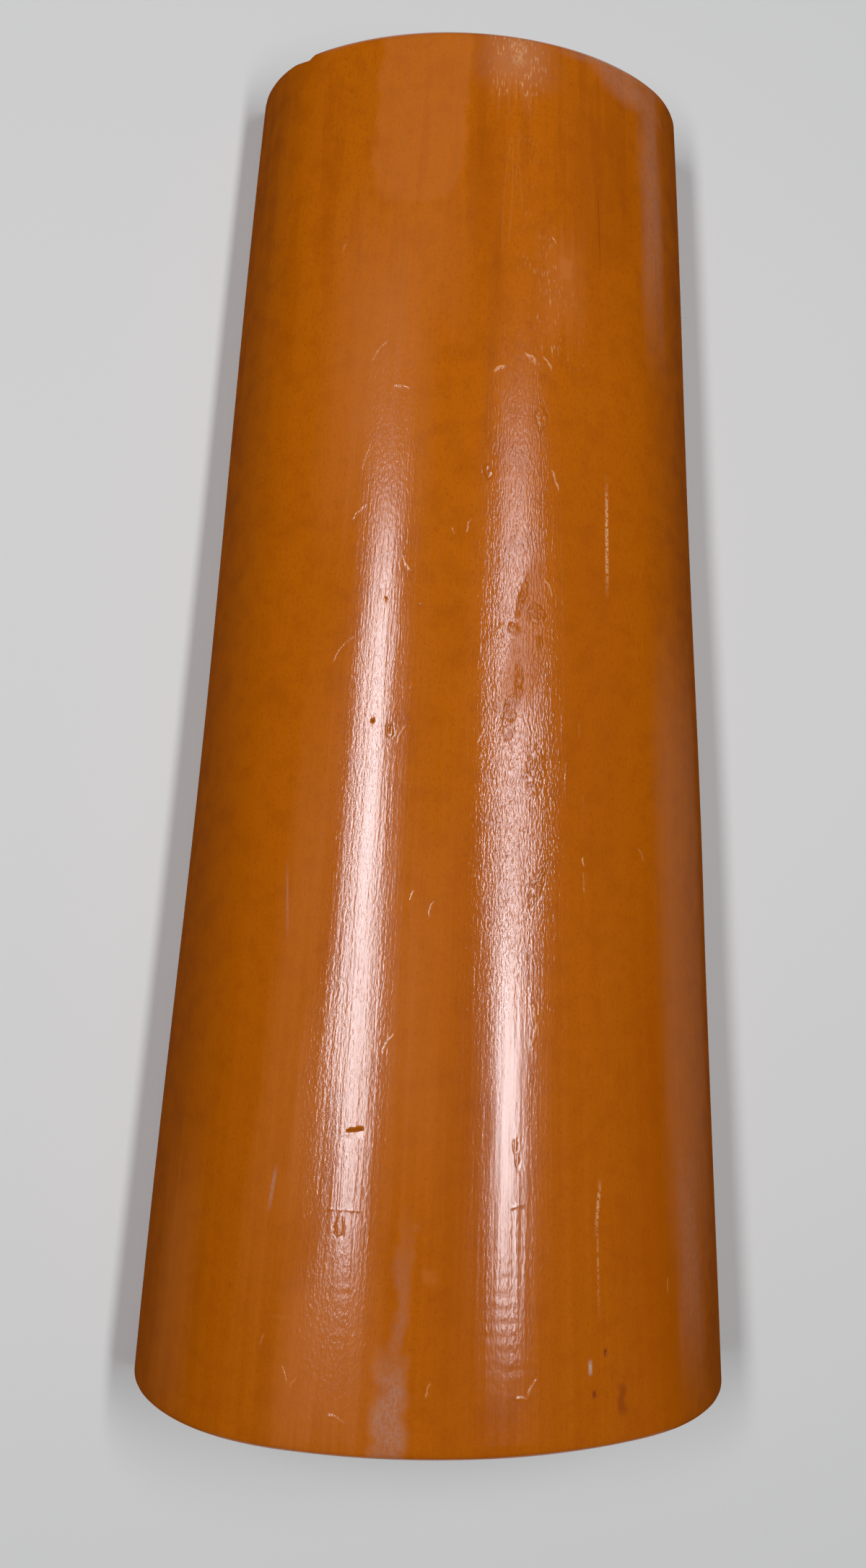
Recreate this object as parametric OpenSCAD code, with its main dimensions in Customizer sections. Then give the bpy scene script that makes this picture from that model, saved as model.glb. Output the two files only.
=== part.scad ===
// Tapered barrel roof tile: one piece of fired clay, a thin arch that narrows along its length.
// It lies on its two long feet with the crown up. X runs across the tile, Y along it towards
// the narrow end, and the origin is the middle of its footprint on the floor.

/* [Tile] */
// Length from end to end
length = 450; // [300:1:600]
// Outside width across the feet at the wide end
wide_width = 205; // [150:1:280]
// Outside width across the feet at the narrow end
narrow_width = 149.5; // [110:0.5:220]
// Outside height of the crown at the wide end
wide_height = 87.5; // [60:0.5:130]
// Outside height of the crown at the narrow end
narrow_height = 68.5; // [50:0.5:110]
// Thickness of the clay wall
wall = 12; // [9:0.5:18]

/* [Section] */
// Angle from the crown line to where the flatter crown arc meets each shoulder arc at the wide end
wide_crown_angle = 22.5; // [15:0.5:45]
// The same angle at the narrow end, where the shoulders are tighter
narrow_crown_angle = 40; // [15:0.5:45]
// Height of the straight foot below each shoulder arc
foot_height = 7; // [4:0.5:15]
// Radius of the rounded edges, along the feet and round both ends
edge_radius = 2.5; // [1:0.25:3]

/* [Chipped end] */
// Depth of the notch that is chipped out of the narrow end's left shoulder
chip_depth = 1.2; // [0:0.1:5]
// Angle from the crown line to the deepest point of the notch
chip_angle = 50; // [20:2.5:70]
// Angle over which the notch's steep side, towards the crown, drops to its full depth
chip_step = 2.5; // [2.5:2.5:15]
// Angle over which its other side runs out towards the foot
chip_run = 7.5; // [2.5:2.5:15]

/* [Smoothness] */
// Angle between the points along the arch
arch_step = 2.5; // [1.5, 2, 2.5, 3, 5]
// Angle between the points round an edge
edge_step = 22.5; // [15, 22.5, 30]

/* [Hidden] */
clay_colour = [0.66, 0.33, 0.04];
// Radius that is left of the foot's rounded edges on the end faces themselves
corner_radius = edge_radius / 5;

// A section is walked by angle from one foot to the other: up to 90 degrees either side of
// the crown it follows the arch, and from there to 180 degrees it turns round the foot's edge.
section_angles = concat(
    [for (u = [-180 : edge_step : -90 - edge_step]) u],
    [for (u = [-90 : arch_step : 90]) u],
    [for (u = [90 + edge_step : edge_step : 180]) u]
);
side_count = len(section_angles);
ring_count = 2 * side_count;

// Rings as [distance from the tile's middle, inset], which round the edges of both ends.
edge_turns = [for (turn = [0 : edge_step : 90]) turn];
narrow_rings = [
    for (turn = edge_turns)
        [length / 2 - edge_radius * (1 - sin(turn)), edge_radius * (1 - cos(turn))]
];
last_turn = len(edge_turns) - 1;
rings = concat(
    [for (k = [last_turn : -1 : 0]) [-narrow_rings[k][0], narrow_rings[k][1]]],
    narrow_rings
);

// Value at a place along the tile, going evenly from the wide end to the narrow end
function along(wide, narrow, y) = wide + (narrow - wide) * (y / length + 0.5);

// Drop of the chipped end at an angle of the section, which is negative on the left
function chip(angle) =
    let (past = -angle - chip_angle)
    chip_depth * max(0, 1 - (past < 0 ? -past / chip_step : past / chip_run));

// Point of a three-centred arch at an angle from its crown, at a depth below its outer face
function arch_point(angle, half_width, rise, crown_angle, depth) =
    let (
        spread = (half_width - rise) / (cos(crown_angle) + sin(crown_angle) - 1),
        shoulder_x = spread * sin(crown_angle),
        shoulder_radius = half_width - shoulder_x,
        crown_radius = shoulder_radius + spread,
        on_crown = abs(angle) <= crown_angle,
        centre = on_crown ? [0, rise - crown_radius] : [sign(angle) * shoulder_x, 0],
        radius = (on_crown ? crown_radius : shoulder_radius) - depth
    )
    centre + radius * [sin(angle), cos(angle)] + [0, foot_height];

// Point on the rounded edge of a foot: its outer edge if side is 1, its inner edge if side is -1
function foot_point(angle, half_width, inset, side) =
    let (
        radius = edge_radius - (edge_radius - corner_radius) * inset / edge_radius,
        depth = (side > 0 ? inset : wall - inset) + side * radius
    )
    [sign(angle) * (half_width - depth), inset + radius]
        + radius * [side * sin(angle), cos(angle)];

// One side of the wall in a ring, from the left foot to the right foot: outer 1, inner -1
function ring_side(y, inset, side) =
    let (
        half_width = along(wide_width, narrow_width, y) / 2,
        rise = along(wide_height, narrow_height, y) - foot_height,
        crown_angle = along(wide_crown_angle, narrow_crown_angle, y),
        depth = side > 0 ? inset : wall - inset
    )
    [
        for (angle = section_angles)
            let (
                p = abs(angle) > 90
                    ? foot_point(angle, half_width, inset, side)
                    : arch_point(angle, half_width, rise, crown_angle, depth)
            )
            [p[0], y > 0 ? y - chip(angle) : y, p[1]]
    ];

// The clay, lofted through its rings: outer points first in each ring, then inner points
module barrel_tile() {
    points = [
        for (ring = rings, side = [1, -1])
            each ring_side(ring[0], ring[1], side)
    ];
    last_ring = (len(rings) - 1) * ring_count;
    wall_faces = [
        for (r = [0 : len(rings) - 2], k = [0 : side_count - 2])
            let (a = r * ring_count + k, b = a + ring_count)
                each [
                    [a, b, b + 1, a + 1],
                    [a + side_count, a + side_count + 1, b + side_count + 1, b + side_count]
                ]
    ];
    foot_faces = [
        for (r = [0 : len(rings) - 2])
            let (left = r * ring_count, right = left + side_count - 1)
                each [
                    [left, left + side_count, left + side_count + ring_count, left + ring_count],
                    [right, right + ring_count, right + side_count + ring_count, right + side_count]
                ]
    ];
    end_faces = [
        for (k = [0 : side_count - 2])
            each [
                [k, k + 1, k + 1 + side_count, k + side_count],
                [
                    last_ring + k, last_ring + k + side_count,
                    last_ring + k + 1 + side_count, last_ring + k + 1
                ]
            ]
    ];
    color(clay_colour)
        polyhedron(points, concat(wall_faces, foot_faces, end_faces), convexity = 4);
}

barrel_tile();
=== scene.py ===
# %% [markdown]
# A barrel roof tile is a tapered arch of fired clay. The wide end of each tile laps over the narrow
# end of the next, so rain runs down the roof from crown to crown. This one had its weather side
# brushed with a satin orange-brown coat, and its underside was left as bare clay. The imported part
# gives the true size, and the cells below model the tile again with a finer surface, so that the
# small unevenness of hand work and brush work can catch the light.

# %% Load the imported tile
import math
from collections import namedtuple

import bmesh
import bpy
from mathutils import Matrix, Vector, noise


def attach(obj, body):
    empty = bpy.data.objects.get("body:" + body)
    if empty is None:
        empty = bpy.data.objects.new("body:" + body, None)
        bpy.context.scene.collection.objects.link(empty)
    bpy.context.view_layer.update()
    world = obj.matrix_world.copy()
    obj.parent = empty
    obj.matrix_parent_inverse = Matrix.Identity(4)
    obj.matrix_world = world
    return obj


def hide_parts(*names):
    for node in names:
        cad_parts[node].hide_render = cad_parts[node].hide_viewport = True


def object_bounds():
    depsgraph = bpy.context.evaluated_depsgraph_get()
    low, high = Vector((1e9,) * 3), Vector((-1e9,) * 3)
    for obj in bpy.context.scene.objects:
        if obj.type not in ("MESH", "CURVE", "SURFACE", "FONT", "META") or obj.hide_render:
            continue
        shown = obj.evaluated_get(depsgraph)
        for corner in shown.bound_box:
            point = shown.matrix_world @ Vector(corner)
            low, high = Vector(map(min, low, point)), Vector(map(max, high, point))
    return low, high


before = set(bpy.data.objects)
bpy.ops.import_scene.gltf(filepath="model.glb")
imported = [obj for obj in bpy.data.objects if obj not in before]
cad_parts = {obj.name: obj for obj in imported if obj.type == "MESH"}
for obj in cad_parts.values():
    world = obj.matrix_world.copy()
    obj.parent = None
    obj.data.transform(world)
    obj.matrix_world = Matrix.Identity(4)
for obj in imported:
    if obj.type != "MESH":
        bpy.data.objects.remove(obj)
cad_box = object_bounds()
scene = bpy.context.scene
scene.view_settings.view_transform = "Standard"
MM = 0.001
print("packed tile, mm:", [round((high - low) / MM, 1) for low, high in zip(*cad_box)])

# %% [markdown]
# The photograph was taken from half a metre above the floor, a little to the left and tilted
# slightly. A camera so near makes what is near look larger, so its distance matters as much as its
# direction. The focal length is written in pixels of the photograph and turned into millimetres
# of a sensor that is as tall as the picture.

# %% Camera
PHOTO_HEIGHT = 2172
FOCAL_PIXELS = 2000
SENSOR_MM = 36
CAMERA_PLACE = (-0.0862, -0.0450, 0.5196)
CAMERA_TURN = (0.0454, -0.1566, 0.0331)
camera_data = bpy.data.cameras.new("camera")
camera_data.sensor_fit = "VERTICAL"
camera_data.sensor_height = SENSOR_MM
camera_data.lens = FOCAL_PIXELS * SENSOR_MM / PHOTO_HEIGHT
camera = bpy.data.objects.new("camera", camera_data)
camera.location = CAMERA_PLACE
camera.rotation_euler = CAMERA_TURN
scene.collection.objects.link(camera)
scene.camera = camera
print("lens, mm:", round(camera_data.lens, 2))

# %% [markdown]
# Two long soft strips hang over the tile, side by side and along its length. Each one is mirrored
# in the coat as a long bright band, because the tile is straight along its length and curved across.
# The strips are ellipses, so the bands thin out towards both ends instead of stopping short. They
# also give most of the plain light.

# %% Two strips of light
STRIP_HEIGHT = 1.2
STRIP_COLOUR = (0.97, 0.99, 1.06)
STRIPS = {
    "left_strip": {"x": -0.645, "y": 0.06, "width": 0.175, "length": 0.95, "turn": 4, "watts": 8.6},
    "right_strip": {"x": 0.41, "y": 0.06, "width": 0.13, "length": 1.05, "turn": 0, "watts": 7.9},
}
aim_height = (cad_box[0].z + cad_box[1].z) / 2
for name, strip in STRIPS.items():
    lamp = bpy.data.lights.new(name, "AREA")
    lamp.shape = "ELLIPSE"
    lamp.size = strip["width"]
    lamp.size_y = strip["length"]
    lamp.energy = strip["watts"]
    lamp.color = STRIP_COLOUR
    lamp_object = bpy.data.objects.new(name, lamp)
    lamp_object.location = (strip["x"], strip["y"], STRIP_HEIGHT)
    tilt = math.atan2(strip["x"], STRIP_HEIGHT - aim_height)
    lamp_object.rotation_euler = (0, tilt, math.radians(strip["turn"]))
    lamp_object.visible_camera = False
    scene.collection.objects.link(lamp_object)
print("lights:", [o.name for o in scene.objects if o.type == "LIGHT"])

# %% [markdown]
# The walls of a room send some light into every shadow. More lamps could do that, but each would be
# mirrored in the coat too, so a dim and even white world does it here.

# %% Dim world
WORLD_STRENGTH = 0.05
world = bpy.data.worlds.new("studio")
world.use_nodes = True
background = world.node_tree.nodes["Background"]
background.inputs["Color"].default_value = (1, 1, 1, 1)
background.inputs["Strength"].default_value = WORLD_STRENGTH
scene.world = world
print("world strength:", WORLD_STRENGTH)

# %% [markdown]
# The tile lies on a plain pale floor. One large square is enough, because its edges lie far outside
# the picture. Its paint has no shine at all, so it takes the tile's soft shadow and mirrors nothing.

# %% Pale floor
FLOOR_SIZE = 6.0
FLOOR_COLOUR = (0.73, 0.72, 0.68, 1)
FLOOR_ROUGHNESS = 0.9
floor_bm = bmesh.new()
bmesh.ops.create_grid(floor_bm, x_segments=1, y_segments=1, size=FLOOR_SIZE / 2)
floor_data = bpy.data.meshes.new("floor")
floor_bm.to_mesh(floor_data)
floor_bm.free()
floor = bpy.data.objects.new("floor", floor_data)
scene.collection.objects.link(floor)
floor_paint = bpy.data.materials.new("pale_floor")
floor_paint.use_nodes = True
floor_shader = floor_paint.node_tree.nodes["Principled BSDF"]
floor_shader.inputs["Base Color"].default_value = FLOOR_COLOUR
floor_shader.inputs["Roughness"].default_value = FLOOR_ROUGHNESS
floor_shader.inputs["Specular IOR Level"].default_value = 0.0
floor_data.materials.append(floor_paint)
print("floor, m:", FLOOR_SIZE)

# %% [markdown]
# The section of the tile is a basket-handle arch: a flatter crown arc, two tighter shoulder arcs
# and a short straight foot on each side. The wide end has a narrow, flat crown and the narrow end
# a rounder one. Width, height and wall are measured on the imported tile, on the last ring before the
# rounded edge of each end, and from these the arcs of both end faces follow.

# %% Measure the section
EDGE = 2.5 * MM
FOOT = 7 * MM
WIDE_CROWN_ANGLE = math.radians(22.5)
NARROW_CROWN_ANGLE = math.radians(40)
SLACK = 0.05 * MM
HALF_LENGTH = (cad_box[1].y - cad_box[0].y) / 2
LAST_RING = HALF_LENGTH - EDGE
cad_points = [v.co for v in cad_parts["barrel_tile"].data.vertices]


def measured_ring(y):
    """Half width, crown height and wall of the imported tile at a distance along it."""
    ring = [p for p in cad_points if abs(p.y - y) < SLACK]
    crown = sorted(p.z for p in ring if abs(p.x) < SLACK)
    return Vector((max(p.x for p in ring), crown[-1], crown[-1] - crown[0]))


def end_arcs(ring, other_ring, crown_angle):
    """Crown arc and shoulder arc of one end face, each as centre x, centre z and radius."""
    half_width, crown = (ring + (ring - other_ring) * EDGE / (2 * LAST_RING)).xy
    rise_above_foot = crown - FOOT
    spread = (half_width - rise_above_foot) / (math.cos(crown_angle) + math.sin(crown_angle) - 1)
    shoulder_x = spread * math.sin(crown_angle)
    shoulder_r = half_width - shoulder_x
    crown_r = shoulder_r + spread
    return {
        "crown_angle": crown_angle,
        "crown": Vector((0, crown - crown_r, crown_r)),
        "shoulder": Vector((shoulder_x, FOOT, shoulder_r)),
    }


wide_ring = measured_ring(-LAST_RING)
narrow_ring = measured_ring(LAST_RING)
WALL = wide_ring.z
WIDE_END = end_arcs(wide_ring, narrow_ring, WIDE_CROWN_ANGLE)
NARROW_END = end_arcs(narrow_ring, wide_ring, NARROW_CROWN_ANGLE)
for name, end in (("wide", WIDE_END), ("narrow", NARROW_END)):
    print(name, "end radii, mm:", round(end["crown"].z / MM, 1), round(end["shoulder"].z / MM, 1))

# %% [markdown]
# The clay was pressed as a flat slab and bent over a mould. In Blender it is quicker to draw the
# section at each end and bridge the two. One vertex starts at the left foot, is extruded up the
# foot and then spun round the three centres of the arch, so the arcs are true arcs. Both ends use
# the same step, so that vertices of equal direction get bridged.

# %% Draw the two end sections
ARCH_STEP = math.radians(1.25)


def arch_row(bm, end, y, depth):
    """Ends and edges of a row of vertices along the arch, that deep below its outer face."""
    shoulder_x, shoulder_z, shoulder_r = end["shoulder"]
    shoulder_turn = math.pi / 2 - end["crown_angle"]
    before = set(bm.edges)
    first = bm.verts.new((depth - shoulder_x - shoulder_r, y, 0))
    tip = bmesh.ops.extrude_vert_indiv(bm, verts=[first])["verts"][0]
    bmesh.ops.translate(bm, verts=[tip], vec=(0, 0, FOOT))
    for x, z, turn in (
        (-shoulder_x, shoulder_z, shoulder_turn),
        (0, end["crown"].y, 2 * end["crown_angle"]),
        (shoulder_x, shoulder_z, shoulder_turn),
    ):
        steps = round(turn / ARCH_STEP)
        spun = bmesh.ops.spin(
            bm, geom=[tip], cent=(x, y, z), axis=(0, 1, 0), angle=turn, steps=steps
        )
        tip = next(g for g in spun["geom_last"] if isinstance(g, bmesh.types.BMVert))
    last = bmesh.ops.extrude_vert_indiv(bm, verts=[tip])["verts"][0]
    bmesh.ops.translate(bm, verts=[last], vec=(0, 0, -FOOT))
    return first, last, [e for e in bm.edges if e not in before]


tile_bm = bmesh.new()
end_loops = []
end_rows = []
for end, y in ((WIDE_END, -HALF_LENGTH), (NARROW_END, HALF_LENGTH)):
    outer_first, outer_last, outer_row = arch_row(tile_bm, end, y, 0)
    inner_first, inner_last, inner_row = arch_row(tile_bm, end, y, WALL)
    feet = [
        tile_bm.edges.new((outer_first, inner_first)),
        tile_bm.edges.new((outer_last, inner_last)),
    ]
    end_loops += outer_row + inner_row + feet
    end_rows.append(outer_row + inner_row)
print("end sections:", len(tile_bm.verts), "vertices")

# %% [markdown]
# Bridging the two closed sections makes the weather side, the underside and both feet at once, and
# bridging outer row to inner row closes each end. Wet clay has no sharp arris, so every edge of the
# ends and feet is then rounded with a bevel.

# %% Bridge the shell and round its edges
EDGE_SEGMENTS = 5
bmesh.ops.bridge_loops(tile_bm, edges=end_loops)
for row in end_rows:
    bmesh.ops.bridge_loops(tile_bm, edges=row)
bmesh.ops.recalc_face_normals(tile_bm, faces=tile_bm.faces)


def runs_along(edge, least):
    """True for an edge that runs at least that far along the tile."""
    return abs(edge.verts[0].co.y - edge.verts[1].co.y) > least


foot_edges = [
    e
    for e in tile_bm.edges
    if runs_along(e, HALF_LENGTH) and max(v.co.z for v in e.verts) < SLACK
]
bmesh.ops.bevel(
    tile_bm,
    geom=end_loops + foot_edges,
    offset=EDGE,
    offset_type="OFFSET",
    segments=EDGE_SEGMENTS,
    profile=0.5,
    affect="EDGES",
    material=-1,
)
print("shell:", len(tile_bm.faces), "faces, closed:", all(e.is_manifold for e in tile_bm.edges))

# %% [markdown]
# Marks and brush strokes follow the curve of the arch, so plain x and z are of little use for them.
# A point's place is told as on a map of the unrolled tile instead: how far across from the crown
# line, how far along, and how deep under the outer face. A UV map could hold two of these, but the
# third is needed as well, to know the weather side from the underside. Points of the two ends that
# face the same way are joined by straight lines, so the section anywhere between is again made of
# arcs, and their centres and radii change evenly.

# %% Map of the unrolled tile
TURNS = (WIDE_CROWN_ANGLE, NARROW_CROWN_ANGLE, math.pi / 2)


def arc_at(y, angle):
    """Centre x, centre z and radius of the section at y, at an angle from its crown."""
    wide_arc, narrow_arc = (
        end["crown"] if angle <= end["crown_angle"] else end["shoulder"]
        for end in (WIDE_END, NARROW_END)
    )
    return wide_arc.lerp(narrow_arc, y / (2 * HALF_LENGTH) + 0.5)


def place(co):
    """Where a point lies: arc across from the crown line, distance along, depth under the face."""
    x = abs(co.x)
    across = 0
    low = 0
    for high in TURNS:
        centre_x, centre_z, radius = arc_at(co.y, high)
        angle = math.atan2(x - centre_x, co.z - centre_z)
        across += arc_at(0, high).z * (min(angle, high) - low)
        if angle <= high:
            break
        low = high
    depth = radius - math.hypot(x - centre_x, co.z - centre_z)
    if co.z < FOOT:
        depth = centre_x + radius - x
        across += FOOT - co.z
    return Vector((math.copysign(across, co.x), co.y, depth))


foot_place = place(Vector((cad_box[1].x, -HALF_LENGTH, 0)))
print("from crown line to foot, mm:", round(foot_place.x / MM, 1))

# %% [markdown]
# The long faces are now cut into rings. The underside only needs a ring every centimetre. The
# weather side gets a ring every 2.5 mm and its flatter crown a second cut across, fine enough for
# the waves of hand work to be real shapes.

# %% Cut the rings
RING = 10 * MM
WEATHER_CUTS = 3
CROWN_REACH = sum(
    arc_at(0, high).z * (high - low) for low, high in ((0, TURNS[0]), (TURNS[0], TURNS[1]))
)


def on_weather_side(edge):
    """True for an edge that lies in the outer face."""
    return max(place(v.co).z for v in edge.verts) < SLACK


ring_count = round(2 * LAST_RING / RING)
long_edges = [e for e in tile_bm.edges if runs_along(e, HALF_LENGTH)]
bmesh.ops.subdivide_edges(tile_bm, edges=long_edges, cuts=ring_count - 1, use_grid_fill=True)
weather_edges = [e for e in tile_bm.edges if runs_along(e, RING / 2) and on_weather_side(e)]
bmesh.ops.subdivide_edges(tile_bm, edges=weather_edges, cuts=WEATHER_CUTS, use_grid_fill=True)
crown_edges = [
    e
    for e in tile_bm.edges
    if not runs_along(e, SLACK)
    and on_weather_side(e)
    and max(abs(place(v.co).x) for v in e.verts) < CROWN_REACH + SLACK
]
bmesh.ops.subdivide_edges(tile_bm, edges=crown_edges, cuts=1, use_grid_fill=True)
print("cut shell:", len(tile_bm.verts), "vertices,", len(tile_bm.faces), "faces")

# %% [markdown]
# A brush sheds hairs, and the coat dries over them. A hair could be a curve laid on the coat, but it
# lies under the film, so the surface itself is raised along it: a thin bent ridge, pale where the
# coat is thin. All small marks are made in this way. A function for each kind gives how far its
# marks reach across and along, and a formula for how far the surface stands out and how pale or
# dark it is at a distance from the mark's centre. Sizes are in mm. Two smooth curves, a bell and an
# easing rise, shape nearly all of them.

# %% Hairs of the brush
HAIR_WIDTH = 0.16
HAIR_HEIGHT = 0.12
HAIR_LEAST = 0.25
HAIR_TIPS = (-0.2, 0.9)
HAIR_WANDER = 0.3
WANDER_LENGTH = 1.5
HAIR_MARGIN = 0.7


def bell(distance, width):
    """1 at no distance, falling smoothly to 0 beyond about twice the width."""
    return math.exp(-((distance / width) ** 2))


def ease(value, low, high):
    """0 below low, 1 above high and a smooth rise between."""
    share = min(1, max(0, (value - low) / (high - low)))
    return share * share * (3 - 2 * share)


def hair(heading, length, bend, pale):
    """A thin bent ridge, higher and paler where the coat over the hair is thin."""
    turn = math.radians(heading)
    reach_across = abs(math.sin(turn)) * length / 2 + abs(bend) + HAIR_MARGIN
    reach_along = abs(math.cos(turn)) * length / 2 + abs(bend) + HAIR_MARGIN

    def shape(across, along):
        run = across * math.sin(turn) + along * math.cos(turn)
        side = across * math.cos(turn) - along * math.sin(turn)
        wander = HAIR_WANDER * noise.noise(Vector((run / WANDER_LENGTH, heading, length)))
        off = side - bend * (2 * run / length) ** 2 - wander
        ridge = bell(off, HAIR_WIDTH) * ease(length / 2 - abs(run), *HAIR_TIPS)
        return HAIR_HEIGHT * (HAIR_LEAST + abs(pale)) * ridge, pale * ridge

    return reach_across, reach_along, shape


print("a 6 mm hair stands out, mm:", round(hair(0, 6, 0, 1)[2](0, 0)[0], 3))

# %% [markdown]
# Half-dry coat that the brush drags along dries as a lump: an uneven island with a thin sunk rim.
# Where the coat was too wet it ran, and dried in the shape of a drop with a sunk outline. Both start
# from the distance to a rim that noise has disturbed, so that no two look alike.

# %% Lumps and runs of the coat
RIM_WIDTH = 0.2
LUMP_SPREAD = 1.4
LUMP_UNREST = 0.5
RIM_SINK = 0.3
LUMP_TONE = -0.18
# painted shade: the sunk rim of a lump is darkened
RIM_PAINTED_SHADE = -0.2
RUN_HEIGHT = 0.03
RUN_UNREST = 0.2
# painted shade: the sunk outline of a run is darkened
RUN_OUTLINE_PAINTED_SHADE = -0.1


def lump(half_width, half_length, lean, height):
    """An uneven island of half-dry coat, which leans aside as it goes along."""
    reach = LUMP_SPREAD * half_width + abs(lean) * half_length + 0.5

    def shape(across, along):
        aside = across - lean * along
        way = Vector((aside / 1.5, along / 2.2, half_length))
        unrest = LUMP_UNREST * noise.noise(way)
        rim = math.hypot(aside / half_width, along / half_length) + unrest
        island = ease(1 - rim, 0, 0.5)
        bumps = 0.5 + noise.noise(1.9 * way + Vector((0, 0, 4)))
        edge = bell((rim - 1) * half_width, RIM_WIDTH)
        tone = LUMP_TONE * island * bumps + RIM_PAINTED_SHADE * edge
        return height * (island * bumps - RIM_SINK * edge), tone

    return reach, LUMP_SPREAD * half_length, shape


def run_of_coat(half_width, half_length):
    """A run that dried as a drop: a smooth body with a sunk outline, wider at its lower end."""

    def shape(across, along):
        fall = -along / half_length
        width = half_width * (0.75 + 0.45 * fall)
        unrest = RUN_UNREST * noise.noise(Vector((across, along, half_length)))
        rim = math.hypot(across / width, fall) + unrest
        outline = bell((rim - 1) * half_width, RIM_WIDTH) * ease(fall, -0.9, 0.1)
        body = ease(1 - rim, 0, 0.6)
        return RUN_HEIGHT * body - RUN_HEIGHT * outline, RUN_OUTLINE_PAINTED_SHADE * outline

    return 1.5 * half_width + 1, half_length + 1.5, shape


print("a lump of 2 mm reaches, mm:", [round(reach, 1) for reach in lump(2, 2, 0, 0.1)[:2]])

# %% [markdown]
# Clay and brush leave faults of their own. An open pore shows as a small dark pit, a knock leaves a
# short gouge with one steep side, and a brush that stutters leaves fine ripples across its way. The
# dark tone of pits and gouges is painted shade in their hollows.

# %% Pits, nicks and ripples
PIT_SPREAD = 4
PIT_STRETCH = 1.5
PIT_PAINTED_SHADE = -0.6
NICK_MARGIN = 1
NICK_LEAN = 0.12
NICK_WANDER = 0.15
NICK_PAINTED_SHADE = -1.5


def pit(radius, depth):
    """A small open pore in the clay, a little longer than it is wide."""

    def shape(across, along):
        hollow = bell(math.hypot(across, along / PIT_STRETCH), radius)
        return -depth * hollow, PIT_PAINTED_SHADE * hollow

    return PIT_SPREAD * radius, PIT_SPREAD * radius, shape


def nick(half_width, half_length, depth):
    """A short gouge across the tile with one steep side and thin ends."""

    def shape(across, along):
        wander = NICK_WANDER * noise.noise(Vector((across / 1.6, 3.7, half_width)))
        run = along - wander - NICK_LEAN * across
        hollow = ease(half_width - abs(across), -0.2, 1.6)
        hollow *= ease(half_length - run, -0.1, 0.2) * ease(half_length + run, -0.1, 0.4)
        return -depth * hollow, NICK_PAINTED_SHADE * depth * hollow

    return half_width + NICK_MARGIN, half_length + NICK_MARGIN, shape


def ripples(half_width, half_length, spacing, height):
    """Cross ripples that come and go, and fade out towards their borders."""

    def shape(across, along):
        sway = 0.5 * noise.noise(Vector((across / 8, along / 9, spacing)))
        patchy = 0.55 + noise.noise(Vector((across / 7, along / 6, 2 * spacing)))
        share = ease(half_width - abs(across), 0, 5) * ease(half_length - abs(along), 0, 10)
        return height * math.sin(2 * math.pi * (along / spacing + sway)) * share * patchy, 0

    return half_width, half_length, shape


print("mark shapes:", [f.__name__ for f in (hair, lump, run_of_coat, pit, nick, ripples)])

# %% [markdown]
# The hairs are placed one by one, as millimetres across from the crown line (right is positive) and
# along from the middle (the narrow end is positive). Then come the heading from straight along,
# turning right, the length, how far the middle bends aside, and how pale the hair is. Scattering
# them at random would be shorter, but people remember an object by marks like these.

# %% Place the hairs
HAIRS = [
    (-47, 64, 38, 7, 0.6, 0.2),
    (-46, 82, 14, 9, 0.4, 0.2),
    (-44.5, 117, 35, 8, 0.6, 0.2),
    (-34.5, 105, 100, 6, 0.4, 0.2),
    (-9, 60, 14, 5, 0.5, 0.3),
    (-14, 58, -20, 3, 0.2, 0.25),
    (-29, 47, -30, 6, 0.6, 0.2),
    (0.5, 112, 55, 4.5, 0.2, 0.95),
    (12.7, 117, 115, 4.5, 0.3, 0.85),
    (19.3, 116, 140, 4, 0.5, 0.6),
    (20.5, 114.5, 150, 2.5, 0.2, 0.8),
    (22.5, 157, 140, 3, 0.2, 0.5),
    (-59, 153, 20, 3, 0.2, 0.3),
    (21.9, 78.5, 160, 4, 0.3, 0.8),
    (23, 75.5, 155, 3.5, 0.3, 0.7),
    (20, 42, 155, 7, 0.8, 0.6),
    (2, 27, 40, 7, 0.4, 0.5),
    (-49, 20, 35, 11, 1.0, 0.12),
    (-3, -7, 25, 5, 0.4, 0.4),
    (-27.5, -7, 22, 6, 0.4, 0.35),
    (23.9, -3, 2, 15, 0.3, 0.06),
    (25, -19, 2, 11, 0.2, 0.06),
    (30, -3, 5, 5, 0.3, 0.12),
    (30.8, -30, 3, 14, 0.3, 0.05),
    (-21.5, -57, 22, 4, 0.2, 0.22),
    (-16, -61, 12, 6, 0.4, 0.25),
    (30.7, -45, -5, 3, 0.3, 0.85),
    (31, -51.5, 178, 7, 0.2, 0.25),
    (53.5, -42, 150, 5, 0.4, 0.3),
    (-26, -102, 28, 7, 0.6, 0.35),
    (15.3, -94, -12, 6, 0.5, 0.6),
    (15.2, -99, 14, 6, -0.5, 0.5),
    (-35, -152.5, 90, 11, 0.3, -0.1),
    (10.4, -150.5, 82, 5, 0.5, -0.25),
    (-56, -193, 25, 4, 0.2, 0.3),
    (-47, -202, 150, 6, 0.3, 0.3),
    (-44.5, -204, 30, 4, 0.2, 0.3),
    (-33, -213, 110, 6, 0.8, 0.25),
    (-11.5, -204, 15, 5, 0.3, 0.4),
    (14.5, -204, 30, 6, 0.4, 0.4),
    (12, -207, 95, 4, 0.3, 0.3),
    (-15.3, -157, 92, 5, 0.2, 0.4),
    (59.5, -179, 5, 5, 0.3, 0.4),
    (1.2, 170, 3, 40, 0.9, 0.08),
    (4.6, 172, 1, 36, -0.7, 0.08),
    (7.2, 180, -4, 24, 0.6, 0.07),
]
print("hairs:", len(HAIRS))

# %% [markdown]
# The other marks are placed in the same way, each row with its place first and then the sizes that
# its own function takes. Most lumps lie right of the crown line, where the brush was lifted.

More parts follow.
